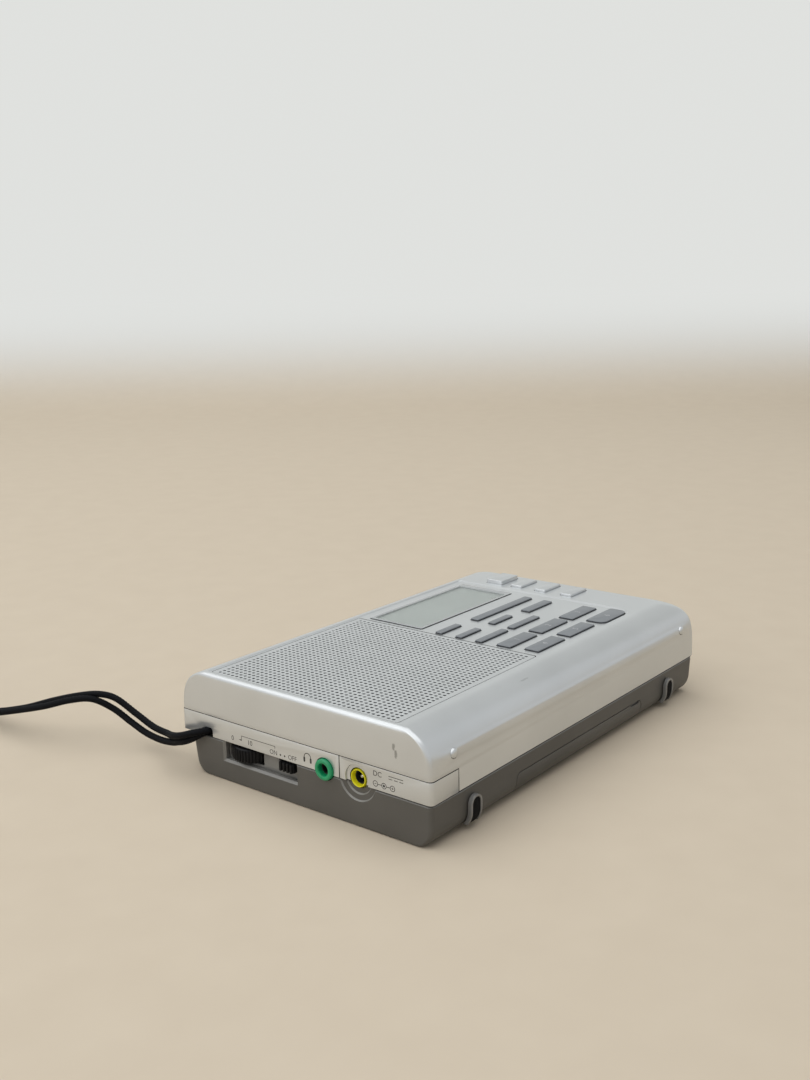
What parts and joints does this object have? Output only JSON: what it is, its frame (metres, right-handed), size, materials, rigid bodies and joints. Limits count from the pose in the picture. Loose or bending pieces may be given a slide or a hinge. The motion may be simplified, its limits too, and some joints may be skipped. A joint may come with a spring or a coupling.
{
  "type": "shortwave receiver",
  "caption": "Pocket multiband radio lying on its back: perforated speaker panel, display window, push keys, thumbwheels, wrist strap and folding telescopic aerial.",
  "frame": {"origin": "middle of the flat rear face, on the table it lies on", "axes": "+X along the case away from the end with the sockets, +Y from the standing edge to the aerial edge, +Z out of the front panel"},
  "size_m": [0.1928, 0.2443, 0.0371],
  "materials": {
    "silver_case": "satin metallic paint",
    "grille": "satin metallic paint, perforated",
    "silver_key": "satin metallic paint",
    "grey_key": "fine matt moulding",
    "dark_case": "fine matt moulding",
    "black_plastic": "satin moulding",
    "rubber": "matt",
    "window": "clear and polished",
    "display_glass": "grey green liquid crystal panel",
    "white_plastic": "plain moulding",
    "circuit_board": "green solder mask",
    "speaker_steel": "pressed and plated",
    "speaker_paper": "pressed paper",
    "ferrite": "sintered, dull",
    "copper": "enamelled copper winding",
    "green_socket": "moulded",
    "yellow_socket": "moulded",
    "bright_metal": "nickel plated",
    "cell_jacket": "printed sleeve",
    "aerial_chrome": "polished",
    "strap_cord": "braided cord"
  },
  "bodies": {
    "cabinet": {"battery_1": "cell_jacket", "battery_2": "cell_jacket", "battery_3": "cell_jacket", "battery_box": "black_plastic", "contact_plate_minus": "bright_metal", "contact_plate_plus": "bright_metal", "control_plate": "dark_case", "corner_strip": "silver_case", "dc_jack": "yellow_socket", "dc_pin": "bright_metal", "end_strip": "silver_case", "ferrite_coil": "copper", "ferrite_rod": "ferrite", "foot_1": "rubber", "foot_2": "rubber", "front_cabinet": "silver_case", "headphone_jack": "green_socket", "jack_board": "circuit_board", "key_board": "circuit_board", "lcd_holder": "white_plastic", "lcd_panel": "display_glass", "lcd_window": "window", "main_board": "circuit_board", "rear_cabinet": "dark_case", "speaker_cone": "speaker_paper", "speaker_frame": "speaker_steel", "speaker_grille": "grille", "speaker_magnet": "ferrite", "strap_bar": "bright_metal", "wrist_strap": "strap_cord"},
    "key_a1": {"key_a1": "grey_key"},
    "key_a2": {"key_a2": "grey_key"},
    "key_b1": {"key_b1": "grey_key"},
    "key_b2": {"key_b2": "grey_key"},
    "key_b3": {"key_b3": "grey_key"},
    "key_c1": {"key_c1": "grey_key"},
    "key_c2": {"key_c2": "grey_key"},
    "key_d1": {"key_d1": "grey_key"},
    "key_d2": {"key_d2": "grey_key"},
    "key_d3": {"key_d3": "grey_key"},
    "key_e1": {"key_e1": "grey_key"},
    "key_e2": {"key_e2": "grey_key"},
    "key_e3": {"key_e3": "grey_key"},
    "side_key_1": {"side_key_1": "silver_key"},
    "side_key_2": {"side_key_2": "silver_key"},
    "side_key_3": {"side_key_3": "silver_key"},
    "side_key_4": {"side_key_4": "silver_key"},
    "gain_wheel": {"gain_wheel": "black_plastic"},
    "volume_wheel": {"volume_wheel": "black_plastic"},
    "gain_switch": {"gain_switch": "black_plastic"},
    "battery_cover": {"battery_cover": "dark_case"},
    "aerial_base": {"aerial_base": "aerial_chrome"},
    "aerial_root": {"aerial_root": "aerial_chrome"},
    "aerial_tube_2": {"aerial_tube_2": "aerial_chrome"},
    "aerial_tube_3": {"aerial_tube_3": "aerial_chrome"},
    "aerial_tube_4": {"aerial_tube_4": "aerial_chrome"},
    "aerial_tip": {"aerial_tip": "aerial_chrome"}
  },
  "joints": [
    {"name": "key_a1_press", "type": "slide", "parent": "cabinet", "child": "key_a1", "axis": [0, 0, -1], "range_m": [0, 0.0008], "stiffness_N_per_m": 300},
    {"name": "key_a2_press", "type": "slide", "parent": "cabinet", "child": "key_a2", "axis": [0, 0, -1], "range_m": [0, 0.0008], "stiffness_N_per_m": 300},
    {"name": "key_b1_press", "type": "slide", "parent": "cabinet", "child": "key_b1", "axis": [0, 0, -1], "range_m": [0, 0.0008], "stiffness_N_per_m": 300},
    {"name": "key_b2_press", "type": "slide", "parent": "cabinet", "child": "key_b2", "axis": [0, 0, -1], "range_m": [0, 0.0008], "stiffness_N_per_m": 300},
    {"name": "key_b3_press", "type": "slide", "parent": "cabinet", "child": "key_b3", "axis": [0, 0, -1], "range_m": [0, 0.0008], "stiffness_N_per_m": 300},
    {"name": "key_c1_press", "type": "slide", "parent": "cabinet", "child": "key_c1", "axis": [0, 0, -1], "range_m": [0, 0.0008], "stiffness_N_per_m": 300},
    {"name": "key_c2_press", "type": "slide", "parent": "cabinet", "child": "key_c2", "axis": [0, 0, -1], "range_m": [0, 0.0008], "stiffness_N_per_m": 300},
    {"name": "key_d1_press", "type": "slide", "parent": "cabinet", "child": "key_d1", "axis": [0, 0, -1], "range_m": [0, 0.0008], "stiffness_N_per_m": 300},
    {"name": "key_d2_press", "type": "slide", "parent": "cabinet", "child": "key_d2", "axis": [0, 0, -1], "range_m": [0, 0.0008], "stiffness_N_per_m": 300},
    {"name": "key_d3_press", "type": "slide", "parent": "cabinet", "child": "key_d3", "axis": [0, 0, -1], "range_m": [0, 0.0008], "stiffness_N_per_m": 300},
    {"name": "key_e1_press", "type": "slide", "parent": "cabinet", "child": "key_e1", "axis": [0, 0, -1], "range_m": [0, 0.0008], "stiffness_N_per_m": 300},
    {"name": "key_e2_press", "type": "slide", "parent": "cabinet", "child": "key_e2", "axis": [0, 0, -1], "range_m": [0, 0.0008], "stiffness_N_per_m": 300},
    {"name": "key_e3_press", "type": "slide", "parent": "cabinet", "child": "key_e3", "axis": [0, 0, -1], "range_m": [0, 0.0008], "stiffness_N_per_m": 300},
    {"name": "side_key_1_press", "type": "slide", "parent": "cabinet", "child": "side_key_1", "axis": [0, 0, -1], "range_m": [0, 0.0008], "stiffness_N_per_m": 300},
    {"name": "side_key_2_press", "type": "slide", "parent": "cabinet", "child": "side_key_2", "axis": [0, 0, -1], "range_m": [0, 0.0008], "stiffness_N_per_m": 300},
    {"name": "side_key_3_press", "type": "slide", "parent": "cabinet", "child": "side_key_3", "axis": [0, 0, -1], "range_m": [0, 0.0008], "stiffness_N_per_m": 300},
    {"name": "side_key_4_press", "type": "slide", "parent": "cabinet", "child": "side_key_4", "axis": [0, 0, -1], "range_m": [0, 0.0008], "stiffness_N_per_m": 300},
    {"name": "gain_turn", "type": "hinge", "parent": "cabinet", "child": "gain_wheel", "pos_m": [-0.0769, 0.0248, 0.0086], "axis": [0, 0, 1], "range_deg": [-140, 140]},
    {"name": "volume_turn", "type": "hinge", "parent": "cabinet", "child": "volume_wheel", "pos_m": [0.0756, 0.017, 0.0086], "axis": [0, 0, 1], "range_deg": [-140, 140]},
    {"name": "gain_slide", "type": "slide", "parent": "cabinet", "child": "gain_switch", "axis": [0, 1, 0], "range_m": [0, 0.0022]},
    {"name": "lid_hinge", "type": "hinge", "parent": "cabinet", "child": "battery_cover", "pos_m": [0.001, -0.0046, 0], "axis": [1, 0, 0], "range_deg": [0, 100]},
    {"name": "aerial_swivel", "type": "hinge", "parent": "cabinet", "child": "aerial_base", "pos_m": [0.076, 0.0495, 0.0046], "axis": [0, -1, 0], "range_deg": [0, 180]},
    {"name": "aerial_fold", "type": "hinge", "parent": "aerial_base", "child": "aerial_root", "pos_m": [0.076, 0.0525, 0.0046], "axis": [0, 0, -1], "range_deg": [0, 90]},
    {"name": "aerial_tube_2_draw", "type": "slide", "parent": "aerial_root", "child": "aerial_tube_2", "axis": [-1, 0, 0], "range_m": [0, 0.112]},
    {"name": "aerial_tube_3_draw", "type": "slide", "parent": "aerial_tube_2", "child": "aerial_tube_3", "axis": [-1, 0, 0], "range_m": [0, 0.112]},
    {"name": "aerial_tube_4_draw", "type": "slide", "parent": "aerial_tube_3", "child": "aerial_tube_4", "axis": [-1, 0, 0], "range_m": [0, 0.112]},
    {"name": "aerial_tip_draw", "type": "slide", "parent": "aerial_tube_4", "child": "aerial_tip", "axis": [-1, 0, 0], "range_m": [0, 0.112]}
  ]
}
